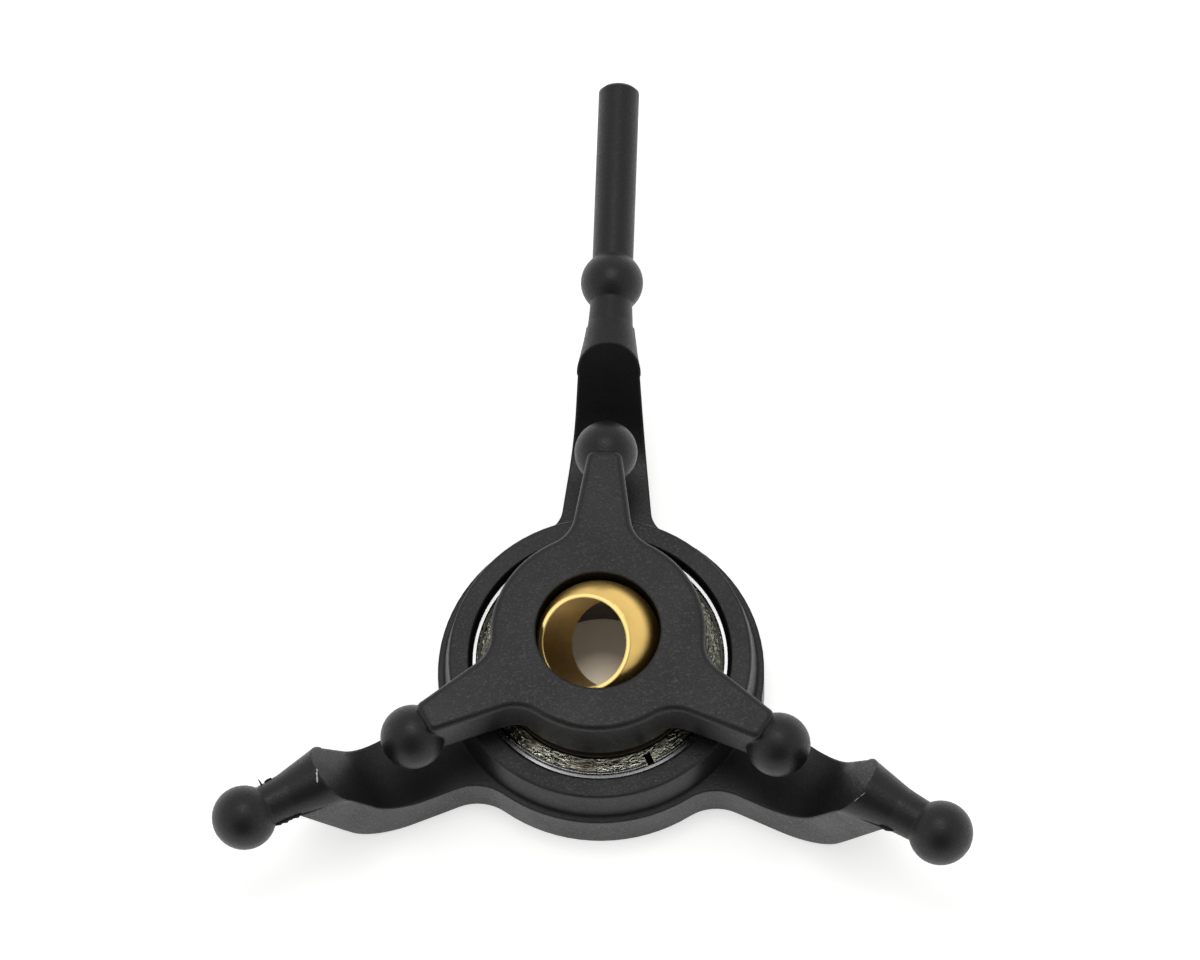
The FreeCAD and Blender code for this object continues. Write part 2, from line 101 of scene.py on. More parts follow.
class MouldingMarks(PropertyGroup):
    """Flash that the mould left on the ring's arms, and nicks from use; the left arm's pale ridge
    is a painted glint.
    """
    flash_thickness: FloatProperty(
        name="Flash thickness", description="Thickness of the flash squeezed out of the mould",
        unit="LENGTH", min=0.00001, default=0.00004)
    flash_height: FloatProperty(
        name="Flash height", description="How far the flash's highest tooth stands out",
        unit="LENGTH", min=0.00001, default=0.00013)
    hair_length: FloatProperty(
        name="Hair length", description="Length of the stray hair of nylon by the left ball",
        unit="LENGTH", min=0.00001, default=0.00038)
    nick_height: FloatProperty(
        name="Nick height", description="How far a nick's raised burr stands out",
        unit="LENGTH", min=0.00001, default=0.00004)
    # On the left arm's ridge this pale colour is a painted glint.
    scratch_and_glint_colour: FloatVectorProperty(
        name="Nick colour", description="Colour of the nylon where a nick has whitened it",
        subtype="COLOR", size=3, min=0, max=1, default=(0.6, 0.6, 0.61))


class MetalFinish(PropertyGroup):
    """The gold-coloured uniball and the steel of the bearing."""
    gold_colour: FloatVectorProperty(
        name="Gold colour", description="Colour of the uniball's coating",
        subtype="COLOR", size=3, min=0, max=1, default=(0.98, 0.67, 0.22))
    gold_roughness: FloatProperty(
        name="Gold roughness", description="Roughness of the polished coating",
        subtype="FACTOR", min=0, max=1, default=0.34)
    gold_edge: FloatProperty(
        name="Gold edge", description="How softly the uniball's ends are rounded",
        unit="LENGTH", min=0, default=0.00012)
    # Paler than the gold as a painted highlight; the polished ends' real gloss is their lower
    # roughness.
    rim_polish_and_highlight: FloatVectorProperty(
        name="Rim colour", description="Colour of the uniball's polished ends",
        subtype="COLOR", size=3, min=0, max=1, default=(1.0, 0.8, 0.31))
    steel_colour: FloatVectorProperty(
        name="Steel colour", description="Colour of the outer race",
        subtype="COLOR", size=3, min=0, max=1, default=(0.46, 0.46, 0.46))
    steel_roughness: FloatProperty(
        name="Steel roughness", description="Roughness of the ground steel",
        subtype="FACTOR", min=0, max=1, default=0.2)
    spring_colour: FloatVectorProperty(
        name="Spring colour", description="Colour of the snap rings",
        subtype="COLOR", size=3, min=0, max=1, default=(0.45, 0.45, 0.45))
    # The inner race's dark brown-grey is painted shade under the hub.
    dark_race_colour: FloatVectorProperty(
        name="Grease colour", description="Colour of the inner race under its film of grease",
        subtype="COLOR", size=3, min=0, max=1, default=(0.2, 0.17, 0.13))
    shield_colour: FloatVectorProperty(
        name="Shield colour", description="Pale colour of the pressed shield",
        subtype="COLOR", size=3, min=0, max=1, default=(0.85, 0.84, 0.68))


class StudioSettings(PropertyGroup):
    """Floor, lamps and camera."""
    floor_colour: FloatVectorProperty(
        name="Floor colour", description="Colour of the floor in its own shade",
        subtype="COLOR", size=3, min=0, max=1, default=(0.85, 0.845, 0.83))
    floor_glow: FloatProperty(
        name="Floor white", description="White that the camera sees added to the floor",
        min=0, max=1, default=0.55)
    room: FloatProperty(
        name="Room light", description="Strength of the light from overhead",
        min=0, default=0.8)
    room_sides: FloatProperty(
        name="Sides of the room", description="Strength of the light from the room's pale walls",
        min=0, default=1.1)
    room_front: FloatProperty(
        name="Front of the room", description="Strength of the light from the camera's side",
        min=0, default=0.11)
    softbox: FloatProperty(
        name="Softbox", description="Power of the softbox overhead",
        unit="POWER", min=0, default=0.9)
    side_card: FloatProperty(
        name="Side card", description="Power of the pale card that the uniball's rim reflects",
        unit="POWER", min=0, default=0.07)
    azimuth: FloatProperty(
        name="Azimuth", description="Turn of the camera round the object",
        subtype="ANGLE", default=math.radians(5.59))
    elevation: FloatProperty(
        name="Elevation", description="Height of the camera above the horizon",
        subtype="ANGLE", default=math.radians(65.61))
    roll: FloatProperty(
        name="Roll", description="Turn of the camera about its own line of sight",
        subtype="ANGLE", default=math.radians(-3.97))
    distance: FloatProperty(
        name="Distance", description="From the camera to the point that it looks at",
        unit="LENGTH", default=0.36)
    focal_length: FloatProperty(
        name="Focal length", description="Focal length of the lens in millimetres",
        default=188.9)
    aim: FloatVectorProperty(
        name="Aim", description="The point that the camera looks at",
        subtype="TRANSLATION", unit="LENGTH", size=3, default=(-0.000366, 0.010902, -0.001864))


# ---- shader nodes -----------------------------------------------------------------------------

def add_node(tree, kind, inputs=None, **settings):
    """Add a node, set it up, and link or fill the inputs given by name or place."""
    node = tree.nodes.new(kind)
    for name, content in settings.items():
        setattr(node, name, content)
    for name, content in (inputs or {}).items():
        if isinstance(content, bpy.types.NodeSocket):
            tree.links.new(content, node.inputs[name])
        else:
            node.inputs[name].default_value = content
    return node


def new_group(name, inputs, outputs):
    """A node group with float inputs and the outputs given as (name, socket type)."""
    group = bpy.data.node_groups.new(name, "ShaderNodeTree")
    for label in inputs:
        group.interface.new_socket(label, in_out="INPUT", socket_type="NodeSocketFloat")
    for label, kind in outputs:
        group.interface.new_socket(label, in_out="OUTPUT", socket_type=kind)
    return group, group.nodes.new("NodeGroupInput").outputs, group.nodes.new("NodeGroupOutput")


def place_group(tree, group, values):
    """Put a node group into a tree with its own values, and give its outputs."""
    node = tree.nodes.new("ShaderNodeGroup")
    node.node_tree = group
    for name, content in values.items():
        node.inputs[name].default_value = content
    return node.outputs


def maths(tree, operation, first, second=0.0, clamp=False):
    """One sum on two values or sockets."""
    node = add_node(tree, "ShaderNodeMath", {0: first, 1: second}, operation=operation)
    node.use_clamp = clamp
    return node.outputs[0]


def span(tree, value, low, high, new_low=0.0, new_high=1.0):
    """Map a value's range to another, and hold it inside."""
    node = add_node(tree, "ShaderNodeMapRange", {
        "Value": value, "From Min": low, "From Max": high, "To Min": new_low, "To Max": new_high})
    return node.outputs["Result"]


def apart_from(tree, value, middle):
    """How far a value is from a middle one."""
    return maths(tree, "ABSOLUTE", maths(tree, "SUBTRACT", value, middle))


def noise(tree, place, scale, detail, **inputs):
    """Noise from 0 to 1 at a place, with any further inputs by name."""
    node = add_node(tree, "ShaderNodeTexNoise", {
        "Vector": place, "Scale": scale, "Detail": detail, **inputs})
    return node.outputs["Fac"]


def blend_values(tree, factor, first, second):
    """Go from the first value to the second as the factor goes from 0 to 1."""
    return add_node(tree, "ShaderNodeMix", {0: factor, 2: first, 3: second}).outputs[0]


def blend_colours(tree, factor, first, second):
    """Go from the first colour to the second as the factor goes from 0 to 1."""
    node = add_node(tree, "ShaderNodeMix", {0: factor}, data_type="RGBA")
    for socket, content in ((node.inputs[6], first), (node.inputs[7], second)):
        if isinstance(content, bpy.types.NodeSocket):
            tree.links.new(content, socket)
        else:
            socket.default_value = (*content, 1.0)
    return node.outputs[2]


def shade_of(colour, share):
    """A colour with every part taken times a share."""
    return tuple(share * part for part in colour)


def split_place(tree, place):
    """The X, Y and Z of a place."""
    return add_node(tree, "ShaderNodeSeparateXYZ", {"Vector": place}).outputs


def reach_of(tree, place):
    """Distance from the upright axis through the origin."""
    level = add_node(tree, "ShaderNodeVectorMath", {0: place, 1: (1, 1, 0)}, operation="MULTIPLY")
    reach = add_node(tree, "ShaderNodeVectorMath", {0: level.outputs[0]}, operation="LENGTH")
    return reach.outputs["Value"]


# ---- materials --------------------------------------------------------------------------------

# Patterns: how fine they are, as noise scale per metre, and how high they stand.
LATHE_MARKS, LATHE_DEPTH = 9000.0, 0.0000006
CRINKLES, CRINKLE_DEPTH = 5200.0, 0.00009
SMUDGES = 700.0
SMEARS = 900.0
WEAVE = 60.0

# Every RISE holds the two values between which a mask goes from nothing to full.

# Moulded grain: its other patterns against the fine one.
COARSE_SCALE, COARSE_HEIGHT = 0.3, 0.6
CLOUD_SCALE, CLOUD_RISE = 0.04, (0.3, 0.7)
FLECK_SCALE, FLECK_RISE = 0.9, (0.5, 0.72)

# Nylon: its gloss, how far clouds bring the roughness down and up, and, as shares of the edge
# radius, where painted shade begins and is full beside the ring's mouth.
NYLON_SHEEN = 0.38
CLOUD_SMOOTHER, CLOUD_ROUGHER = 0.05, 0.06
MOUTH_SHADE_RISE = (0.35, 0.2)

# Scraped nylon: the size and depth of its grain, the shade of its flecks, and its least and most
# roughness.
SCRAPE_GRAIN, SCRAPE_DEPTH = 0.00008, 0.00001
SCRAPE_SHADE = 0.6
SCRAPE_ROUGHNESS = (0.25, 0.4)

# Turned metal: what smudges and lathe marks do, as shares of its colour and its roughness.
SMUDGE_RISE, SMUDGE_SHADE = (0.35, 0.7), 0.9
LATHE_RISE, LATHE_SMOOTHER, LATHE_ROUGHER = (0.3, 0.7), 0.85, 1.2

# Where the painted bright band has faded out, in its half widths, and the steel's painted shade
# beside it.
BAND_FADE = 1.4
SHADED_STEEL, SHADED_ROUGHNESS = (0.012, 0.012, 0.012), 0.8
# Painted shade on the snap rings behind their front.
SHADED_SPRING = (0.03, 0.028, 0.025)

# A polished rim, paler as a painted highlight: where it is full, in edge radii aside and down, and
# its share of the roughness.
POLISH_ASIDE, POLISH_DOWN = 0.4, 0.5
POLISH = 0.5

# Shield: painted shade in its crinkles' creases, their twist and spread, which is the share of the
# outer radius that a radian counts for, then the tint of its grease, and its roughness as smears
# grow.
CRINKLE_RISE, CRINKLE_SHADE = (0.34, 0.46), 0.25
CRINKLE_TWIST, CRINKLE_SPREAD = 0.9, 0.4
GREASE_RISE, GREASE_TINT = (0.5, 0.68), (0.3, 0.22, 0.16)
SMEAR_RISE, SMEAR_ROUGHNESS = (0.3, 0.7), (0.16, 0.4)

# How much painted shade a shield takes at its rim and behind, where that fades along Y as shares
# of its outer radius, and what the painted shade leaves of its colour.
RIM_SHADE, SHADE_BEHIND = 0.6, 0.92
BEHIND_FADE = (-0.8, -0.4)
SHADED_SHARE = 0.08

# Floor: its finish, and how much paler its weave turns.
FLOOR_ROUGHNESS, FLOOR_SHEEN = 0.7, 0.2
WEAVE_SHADE = 1.03

# Glow on the floor, from the axis outwards: a painted pool of light through the bore, then the
# ring's painted shade, with its tint, up to where it ends.
BORE_SPILL = (0.0002, 0.0024)
RING_SHADE_END = (0.0065, 0.0079)
SPILL_GLOW = 0.36
SHADE_GLOW = 0.045
SHADE_TINT = (1.0, 0.86, 0.66)
WHITE = (1.0, 1.0, 1.0)


def make_grain_group():
    """Pebbled grain of a moulded skin: its height, a mask of bright flecks, and slow clouds."""
    group, given, output = new_group(
        "Moulded grain", ("Grain Size",), (("Height", "NodeSocketFloat"),
                                           ("Flecks", "NodeSocketFloat"),
                                           ("Clouds", "NodeSocketFloat")))
    place = group.nodes.new("ShaderNodeTexCoord").outputs["Object"]
    scale = maths(group, "DIVIDE", 1.0, given["Grain Size"])
    fine = noise(group, place, scale, 3.0, Roughness=0.65)
    coarse = noise(group, place, maths(group, "MULTIPLY", scale, COARSE_SCALE), 2.0)
    clouds = noise(group, place, maths(group, "MULTIPLY", scale, CLOUD_SCALE), 3.0)
    flecks = noise(group, place, maths(group, "MULTIPLY", scale, FLECK_SCALE), 1.0)
    height = maths(group, "MULTIPLY_ADD", coarse, COARSE_HEIGHT)
    group.links.new(fine, height.node.inputs[2])
    group.links.new(height, output.inputs["Height"])
    group.links.new(span(group, flecks, *FLECK_RISE), output.inputs["Flecks"])
    group.links.new(span(group, clouds, *CLOUD_RISE), output.inputs["Clouds"])
    return group


def make_edge_group():
    """A normal that rounds the corners."""
    group, given, output = new_group("Soft edges", ("Radius",), (("Normal", "NodeSocketVector"),))
    soft = add_node(group, "ShaderNodeBevel", {"Radius": given["Radius"]}, samples=6)
    group.links.new(soft.outputs[0], output.inputs["Normal"])
    return group


def new_material(name):
    """An empty node material with its shader and the object's own coordinates."""
    material = bpy.data.materials.new(name)
    material.use_nodes = True
    tree = material.node_tree
    tree.nodes.clear()
    shader = tree.nodes.new("ShaderNodeBsdfPrincipled")
    output = tree.nodes.new("ShaderNodeOutputMaterial")
    tree.links.new(shader.outputs[0], output.inputs["Surface"])
    place = tree.nodes.new("ShaderNodeTexCoord").outputs["Object"]
    return material, tree, shader, place


def link_surface(tree, shader, colour, rough, height, depth, normal=None):
    """Give a shader its colour, its roughness and a bump, over a normal where there is one."""
    bump = add_node(tree, "ShaderNodeBump", {"Height": height, "Distance": depth})
    if normal is not None:
        tree.links.new(normal, bump.inputs["Normal"])
    tree.links.new(colour, shader.inputs["Base Color"])
    tree.links.new(rough, shader.inputs["Roughness"])
    tree.links.new(bump.outputs[0], shader.inputs["Normal"])


def make_nylon(name, finish, grain, edges, mouth=None):
    """Matte black nylon: grain, glass flecks, a slow change of gloss, and painted shade at the
    mouth.
    """
    material, tree, shader, place = new_material(name)
    shader.inputs["Specular IOR Level"].default_value = NYLON_SHEEN
    skin = place_group(tree, grain, {"Grain Size": finish.grain_size})
    corner = place_group(tree, edges, {"Radius": finish.edge_radius})
    body = blend_colours(tree, skin["Flecks"], finish.colour, finish.fleck_colour)
    rough = span(tree, skin["Clouds"], 0.0, 1.0,
                 finish.roughness - CLOUD_SMOOTHER, finish.roughness + CLOUD_ROUGHER)
    rough = blend_values(tree, skin["Flecks"], rough, finish.fleck_roughness)
    if mouth:
        # A black ring of painted shade at the mouth's radius.
        faint, full = (finish.edge_radius * share for share in MOUTH_SHADE_RISE)
        mouth_shade = span(tree, apart_from(tree, reach_of(tree, place), mouth), faint, full)
        body = blend_colours(tree, mouth_shade, body, (0, 0, 0))
        rough = blend_values(tree, mouth_shade, rough, 1.0)
    link_surface(tree, shader, body, rough, skin["Height"], finish.grain_depth, corner["Normal"])
    return material


def make_scratch_and_glint_material(name, colour, grain):
    """Nylon whitened where it was scraped; on the left arm's ridge this pale colour is a painted
    glint.
    """
    material, tree, shader, _ = new_material(name)
    skin = place_group(tree, grain, {"Grain Size": SCRAPE_GRAIN})
    body = blend_colours(tree, skin["Flecks"], colour, shade_of(colour, SCRAPE_SHADE))
    rough = span(tree, skin["Clouds"], 0.0, 1.0, *SCRAPE_ROUGHNESS)
    link_surface(tree, shader, body, rough, skin["Height"], SCRAPE_DEPTH)
    return material


def make_turned_metal(name, colour, roughness, edges, radius, turn=(0, 0, 0),
                      band=None, rim=None, front=None):
    """Lathe-turned metal with rounded edges; turn brings the lathe's axis upright.

    Only the band, a middle radius and its half width, keeps a painted highlight; beside it the
    colour is painted shade. The rim is the radius, the height and the colour of a polished end,
    paler as a painted highlight. Behind the front, two places on Y, it takes painted shade.
    """
    material, tree, shader, place = new_material(name)
    shader.inputs["Metallic"].default_value = 1.0
    upright = add_node(tree, "ShaderNodeMapping", {"Vector": place}, vector_type="POINT")
    upright.inputs["Rotation"].default_value = turn
    reach = reach_of(tree, upright.outputs[0])
    rise = split_place(tree, upright.outputs[0])["Z"]
    lathe = add_node(tree, "ShaderNodeCombineXYZ", {"X": reach, "Z": rise}).outputs[0]
    marks = noise(tree, lathe, LATHE_MARKS, 2.0)
    smudges = noise(tree, place, SMUDGES, 3.0)
    smudged = shade_of(colour, SMUDGE_SHADE)
    shade = blend_colours(tree, span(tree, smudges, *SMUDGE_RISE), colour, smudged)
    rough = span(tree, marks, *LATHE_RISE, roughness * LATHE_SMOOTHER, roughness * LATHE_ROUGHER)
    if band:
        middle, half_width = band
        # Painted shade on the steel beside the bright band.
        painted_shade = span(tree, apart_from(tree, reach, middle), half_width, half_width * BAND_FADE)
        shade = blend_colours(tree, painted_shade, shade, SHADED_STEEL)
        rough = blend_values(tree, painted_shade, rough, SHADED_ROUGHNESS)
    if rim:
        rim_reach, rim_rise, rim_polish_and_highlight = rim
        across = span(tree, apart_from(tree, reach, rim_reach), radius, radius * POLISH_ASIDE)
        upper = span(tree, rise, rim_rise - radius, rim_rise - radius * POLISH_DOWN)
        polish_and_highlight = maths(tree, "MULTIPLY", across, upper)
        # The rim's paler colour is a painted highlight.
        shade = blend_colours(tree, polish_and_highlight, shade, rim_polish_and_highlight)
        rough = blend_values(tree, polish_and_highlight, rough, roughness * POLISH)
    if front:
        # Painted shade behind the front.
        behind = span(tree, split_place(tree, place)["Y"], *front)
        shade = blend_colours(tree, behind, shade, SHADED_SPRING)
    corner = place_group(tree, edges, {"Radius": radius})
    link_surface(tree, shader, shade, rough, marks, LATHE_DEPTH, corner["Normal"])
    return material


def make_shield_metal(name, colour, inner, outer):
    """Thin pressed sheet between two radii, crinkled with painted shade in its creases, with
    grease, and with painted shade behind and at its rim.
    """
    material, tree, shader, place = new_material(name)
    shader.inputs["Metallic"].default_value = 1.0
    reach = reach_of(tree, place)
    parts = split_place(tree, place)
    angle = maths(tree, "ARCTAN2", parts["Y"], parts["X"])
    round_axis = add_node(tree, "ShaderNodeCombineXYZ", {
        "X": reach, "Y": maths(tree, "MULTIPLY", angle, CRINKLE_SPREAD * outer)}).outputs[0]
    crinkles = noise(tree, round_axis, CRINKLES, 2.0, Distortion=CRINKLE_TWIST)
    smears = noise(tree, place, SMEARS, 2.0)
    grease = [tint * part for tint, part in zip(GREASE_TINT, colour)]
    # Painted shade in the crinkles' creases.
    crease_shade = shade_of(colour, CRINKLE_SHADE)
    patch = blend_colours(tree, span(tree, crinkles, *CRINKLE_RISE), crease_shade, colour)
    greased_and_shaded = blend_colours(tree, span(tree, smears, *GREASE_RISE), patch, grease)
    front, back = (share * outer for share in BEHIND_FADE)
    # Painted shade at the shield's rim and behind.
    painted_shade = maths(tree, "MAXIMUM", span(tree, reach, inner, outer, 0.0, RIM_SHADE),
                 span(tree, parts["Y"], front, back, 0.0, SHADE_BEHIND))
    greased_and_shaded = blend_colours(tree, painted_shade, greased_and_shaded, shade_of(colour, SHADED_SHARE))
    rough = span(tree, smears, *SMEAR_RISE, *SMEAR_ROUGHNESS)
    link_surface(tree, shader, greased_and_shaded, rough, crinkles, CRINKLE_DEPTH)
    return material


def make_floor_material(settings):
    """A pale floor that gives off white to the camera and to reflections, with the ring's shade and
    a pool of light through the bore painted into it.
    """
    material, tree, shader, place = new_material("studio_floor")
    weave = noise(tree, place, WEAVE, 2.0)
    paler = tuple(min(1.0, part) for part in shade_of(settings.floor_colour, WEAVE_SHADE))
    shade = blend_colours(tree, weave, settings.floor_colour, paler)
    tree.links.new(shade, shader.inputs["Base Color"])
    shader.inputs["Roughness"].default_value = FLOOR_ROUGHNESS
    shader.inputs["Specular IOR Level"].default_value = FLOOR_SHEEN
    path = tree.nodes.new("ShaderNodeLightPath").outputs
    seen = maths(tree, "ADD", path["Is Camera Ray"], path["Is Glossy Ray"])
    seen = maths(tree, "ADD", seen, path["Is Transmission Ray"], clamp=True)
    reach = reach_of(tree, place)
    # Painted shade under the ring and a painted pool of light under the bore.
    open_floor = span(tree, reach, *RING_SHADE_END, SHADE_GLOW, settings.floor_glow)
    glow = maths(tree, "ADD", open_floor, span(tree, reach, *BORE_SPILL, SPILL_GLOW, 0.0))
    tree.links.new(maths(tree, "MULTIPLY", seen, glow), shader.inputs["Emission Strength"])
    # A warm tint in the painted shade.
    tint = blend_colours(tree, span(tree, reach, *RING_SHADE_END), SHADE_TINT, WHITE)
    tree.links.new(tint, shader.inputs["Emission Color"])
    return material


# ---- shaping ----------------------------------------------------------------------------------

# Corners this near a column, as a share of the fin's thickness, stand in it.
NEAR_COLUMN = 0.1

# Steps of a hair: how much of its length it rises and leans, and how much it thins.
HAIR_STEPS = ((0.4, 0.0, 0.8), (0.35, -0.03, 0.7), (0.25, -0.06, 0.5))

# Steps of a burr's back: how much of its height it rises, and how much it narrows.
BURR_STEPS = ((0.6, 0.85), (0.4, 0.55))

# Where a search for an arm's skin starts, out from the arm's middle.
CLEAR_OF_ARM = 0.003


def start_shape(name, primitive, **size):
    """Add a primitive by itself and open it for editing."""
    bpy.ops.object.select_all(action="DESELECT")
    primitive(**size)
    shape = bpy.context.object
    shape.name = shape.data.name = name
    bpy.ops.object.mode_set(mode="EDIT")
    bpy.ops.mesh.select_mode(type="VERT")
    bpy.ops.mesh.select_all(action="SELECT")
    return shape


def pick_tooth(fin, column, nearness):
    """In edit mode, select the corners on a fin's outer side near a place along it."""
    bpy.ops.mesh.select_all(action="DESELECT")
    mesh = bmesh.from_edit_mesh(fin.data)
    for corner in mesh.verts:
        corner.select_set(corner.co.y > 0 and abs(corner.co.x - column) < nearness)
    bmesh.update_edit_mesh(fin.data)


def close_shape():
    """Turn every face of the open shape outwards and leave edit mode."""
    bpy.ops.mesh.select_all(action="SELECT")
    bpy.ops.mesh.normals_make_consistent(inside=False)
    bpy.ops.object.mode_set(mode="OBJECT")


def shape_fin(name, length, heights, thickness):
    """A ragged fin along X, whose teeth reach out along Y."""
    fin = start_shape(name, bpy.ops.mesh.primitive_grid_add,
                      x_subdivisions=len(heights) - 1, y_subdivisions=1, size=1)
    bpy.ops.transform.resize(value=(length, 2 * thickness, 1))
    for step, height in enumerate(heights):
        column = length * (step / (len(heights) - 1) - 0.5)
        pick_tooth(fin, column, NEAR_COLUMN * thickness)
        bpy.ops.transform.translate(value=(0, height, 0))
    bpy.ops.object.mode_set(mode="OBJECT")
    wall = fin.modifiers.new("Wall", "SOLIDIFY")
    wall.thickness = thickness
    wall.offset = 0
    bpy.ops.object.modifier_apply(modifier=wall.name)
    return fin


def shape_hair(name, length, radius):
    """A hair of nylon that rises along Z, thins and leans over."""
    hair = start_shape(name, bpy.ops.mesh.primitive_circle_add,
                       vertices=6, radius=radius, fill_type="NGON")
    for rise, lean, thinning in HAIR_STEPS:
        bpy.ops.mesh.extrude_region_move(
            TRANSFORM_OT_translate={"value": (lean * length, 0, rise * length)})
        bpy.ops.transform.resize(value=(thinning, thinning, 1))
    close_shape()
    return hair


def shape_burr(name, length, width, height):
    """A long, low burr along X with a rounded back, raised along Z."""
    burr = start_shape(name, bpy.ops.mesh.primitive_circle_add,
                       vertices=12, radius=0.5, fill_type="NGON")
    bpy.ops.transform.resize(value=(length, width, 1))
    for rise, narrowing in BURR_STEPS:
        bpy.ops.mesh.extrude_region_move(
            TRANSFORM_OT_translate={"value": (0, 0, rise * height)})
        bpy.ops.transform.resize(value=(narrowing, narrowing, 1))
    close_shape()
    return burr


def lay(shape, place, first, second):
    """Turn a shape's X to the first way and its Y towards the second, at a place, for good."""
    second = (second - first * second.dot(first)).normalized()
    turn = Matrix((first, second, first.cross(second))).transposed().to_4x4()
    shape.matrix_world = Matrix.Translation(place) @ turn
    bpy.ops.object.select_all(action="DESELECT")
    shape.select_set(True)
    bpy.context.view_layer.objects.active = shape
    bpy.ops.object.transform_apply(location=True, rotation=True, scale=False)


def find_skin(ball, inward, angle):
    """The ring's skin near a link ball, inward along its arm and at an angle from the top.

    It gives the place, the way out of the arm there, and the way inward along the arm.
    """
    mount = next(each for each in frame["record"]["mounts"] if each["name"] == ball)
    along = -Vector(mount["axis"])
    out = Matrix.Rotation(math.radians(angle), 3, along) @ Vector((0, 0, 1))
    middle = Vector(mount["pos_m"]) + along * inward
    hit, place, _, _ = NODES["outer_ring"].ray_cast(middle + out * CLEAR_OF_ARM, -out)
    if not hit:
        raise RuntimeError(f"No skin of the ring was found near {ball}")
    return place, out, along


# ---- pieces -----------------------------------------------------------------------------------

LEFT, RIGHT = "outer_link_ball_front_left", "outer_link_ball_front_right"

# Fins of flash: name, ball, inward to the two ends, angle round the neck, and each tooth's share
# of the flash's height.
FINS = (
    ("flash_left_front", LEFT, 0.00135, 0.0029, 90,
     (0.2, 0.55, 0.8, 0.4, 0.75, 1.0, 0.35, 0.6, 0.3, 0.5, 0.85, 0.4, 0.1)),
    ("flash_left_back", LEFT, 0.00186, 0.00233, -62, (0.05, 0.3, 0.45, 0.4, 0.35, 0.1)),
    ("flash_right_front", RIGHT, 0.0023, 0.0031, -90, (0.1, 0.4, 0.75, 1.0, 0.8, 0.9, 0.2)),
)

# Where the hair of flash stands, and how many times the flash's thickness its radius is.
HAIR_SPOT = (LEFT, 0.00166, -62)
HAIR_STOUTNESS = 1.7

# Burrs of nicks, the left ones a ridge made pale as a painted glint: name, ball, inward and angle
# of each end, and width.
NICKS = (
    ("glint_ridge_left_upper", LEFT, (0.00468, -3), (0.00459, 5), 0.0001),
    ("glint_ridge_left_middle", LEFT, (0.00461, 2), (0.00449, 13), 0.00013),
    ("glint_ridge_left_lower", LEFT, (0.00452, 10), (0.00434, 25), 0.00013),
    ("nick_right_upper", RIGHT, (0.00448, -21), (0.00466, -36), 0.000035),
    ("nick_right_lower", RIGHT, (0.00465, -35), (0.00485, -50), 0.000035),
)

# The uniball's corners past this share of its height belong to its flat end.
FLAT_END = 0.999

# How softly the bearing's edges are rounded.
RACE_EDGE = 0.00008
INNER_RACE_EDGE = 0.00003
SPRING_EDGE = 0.00005

# Roughness as a share of the outer race's.
INNER_RACE_ROUGHNESS = 2
SPRING_ROUGHNESS = 0.8

# The painted bright band on the outer race, as shares of its rim.
BAND_PLACE = 0.27
BAND_HALF_WIDTH = 0.14

# Where the snap rings' bright front fades into painted shade, as shares of the shield's radius
# along Y.
SPRING_FRONT = (-0.75, -0.55)


def dress(material, *names):
    """Give CAD nodes a finish."""
    for name in names:
        mesh = NODES[name].data
        mesh.materials.clear()
        mesh.materials.append(material)


class SWASHPLATE_OT_nylon(Operator):
    """Finish the lower ring and the star as moulded black nylon"""
    bl_idname = "swashplate.nylon"
    bl_label = "Finish the nylon"

    def execute(self, context):
        finish = context.scene.swashplate_nylon
        grain, edges = make_grain_group(), make_edge_group()
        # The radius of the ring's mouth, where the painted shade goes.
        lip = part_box("bearing_outer_race")[1].x - finish.lip_reach
        dress(make_nylon("ring_nylon_finish", finish, grain, edges, lip), "outer_ring")
        dress(make_nylon("star_nylon_finish", finish, grain, edges), "star")
        return {"FINISHED"}


def keep_on_ring(piece, material):
    """Finish a piece and let it move with the ring."""
    piece.data.materials.append(material)
    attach(piece, "lower_ring")


class SWASHPLATE_OT_flash(Operator):
    """Squeeze flash out of the mould's joint beside the ring's front balls"""
    bl_idname = "swashplate.flash"
    bl_label = "Add the flash"

    def execute(self, context):
        marks = context.scene.swashplate_marks
        nylon = bpy.data.materials["ring_nylon_finish"]
        for name, ball, start, end, angle, teeth in FINS:
            first, out, _ = find_skin(ball, start, angle)
            last, _, _ = find_skin(ball, end, angle)
            fin = shape_fin(name, (last - first).length,
                            [marks.flash_height * tooth for tooth in teeth],
                            marks.flash_thickness)
            lay(fin, (first + last) / 2, (last - first).normalized(), out)
            keep_on_ring(fin, nylon)
        place, out, along = find_skin(*HAIR_SPOT)
        hair = shape_hair("flash_hair", marks.hair_length,
                          marks.flash_thickness * HAIR_STOUTNESS)
        lay(hair, place - out * marks.flash_thickness, along, out.cross(along))
        keep_on_ring(hair, nylon)
        return {"FINISHED"}


class SWASHPLATE_OT_nicks(Operator):
    """Raise the pale burrs on the ring's front arms: whitened nicks on the right, a painted glint
    on the left
    """
    bl_idname = "swashplate.nicks"
    bl_label = "Add the nicks"

    def execute(self, context):
        marks = context.scene.swashplate_marks
        white = make_scratch_and_glint_material("scratch_and_glint_finish", marks.scratch_and_glint_colour,
                                   bpy.data.node_groups["Moulded grain"])
        for name, ball, start, end, width in NICKS:
            first, out, _ = find_skin(ball, *start)
            last, _, _ = find_skin(ball, *end)
            way = (last - first).normalized()
            # Half of a burr's height lies under the skin.
            burr = shape_burr(name, (last - first).length, width, 2 * marks.nick_height)
            lay(burr, (first + last) / 2 - out * marks.nick_height, way, out.cross(way))
            keep_on_ring(burr, white)
        return {"FINISHED"}


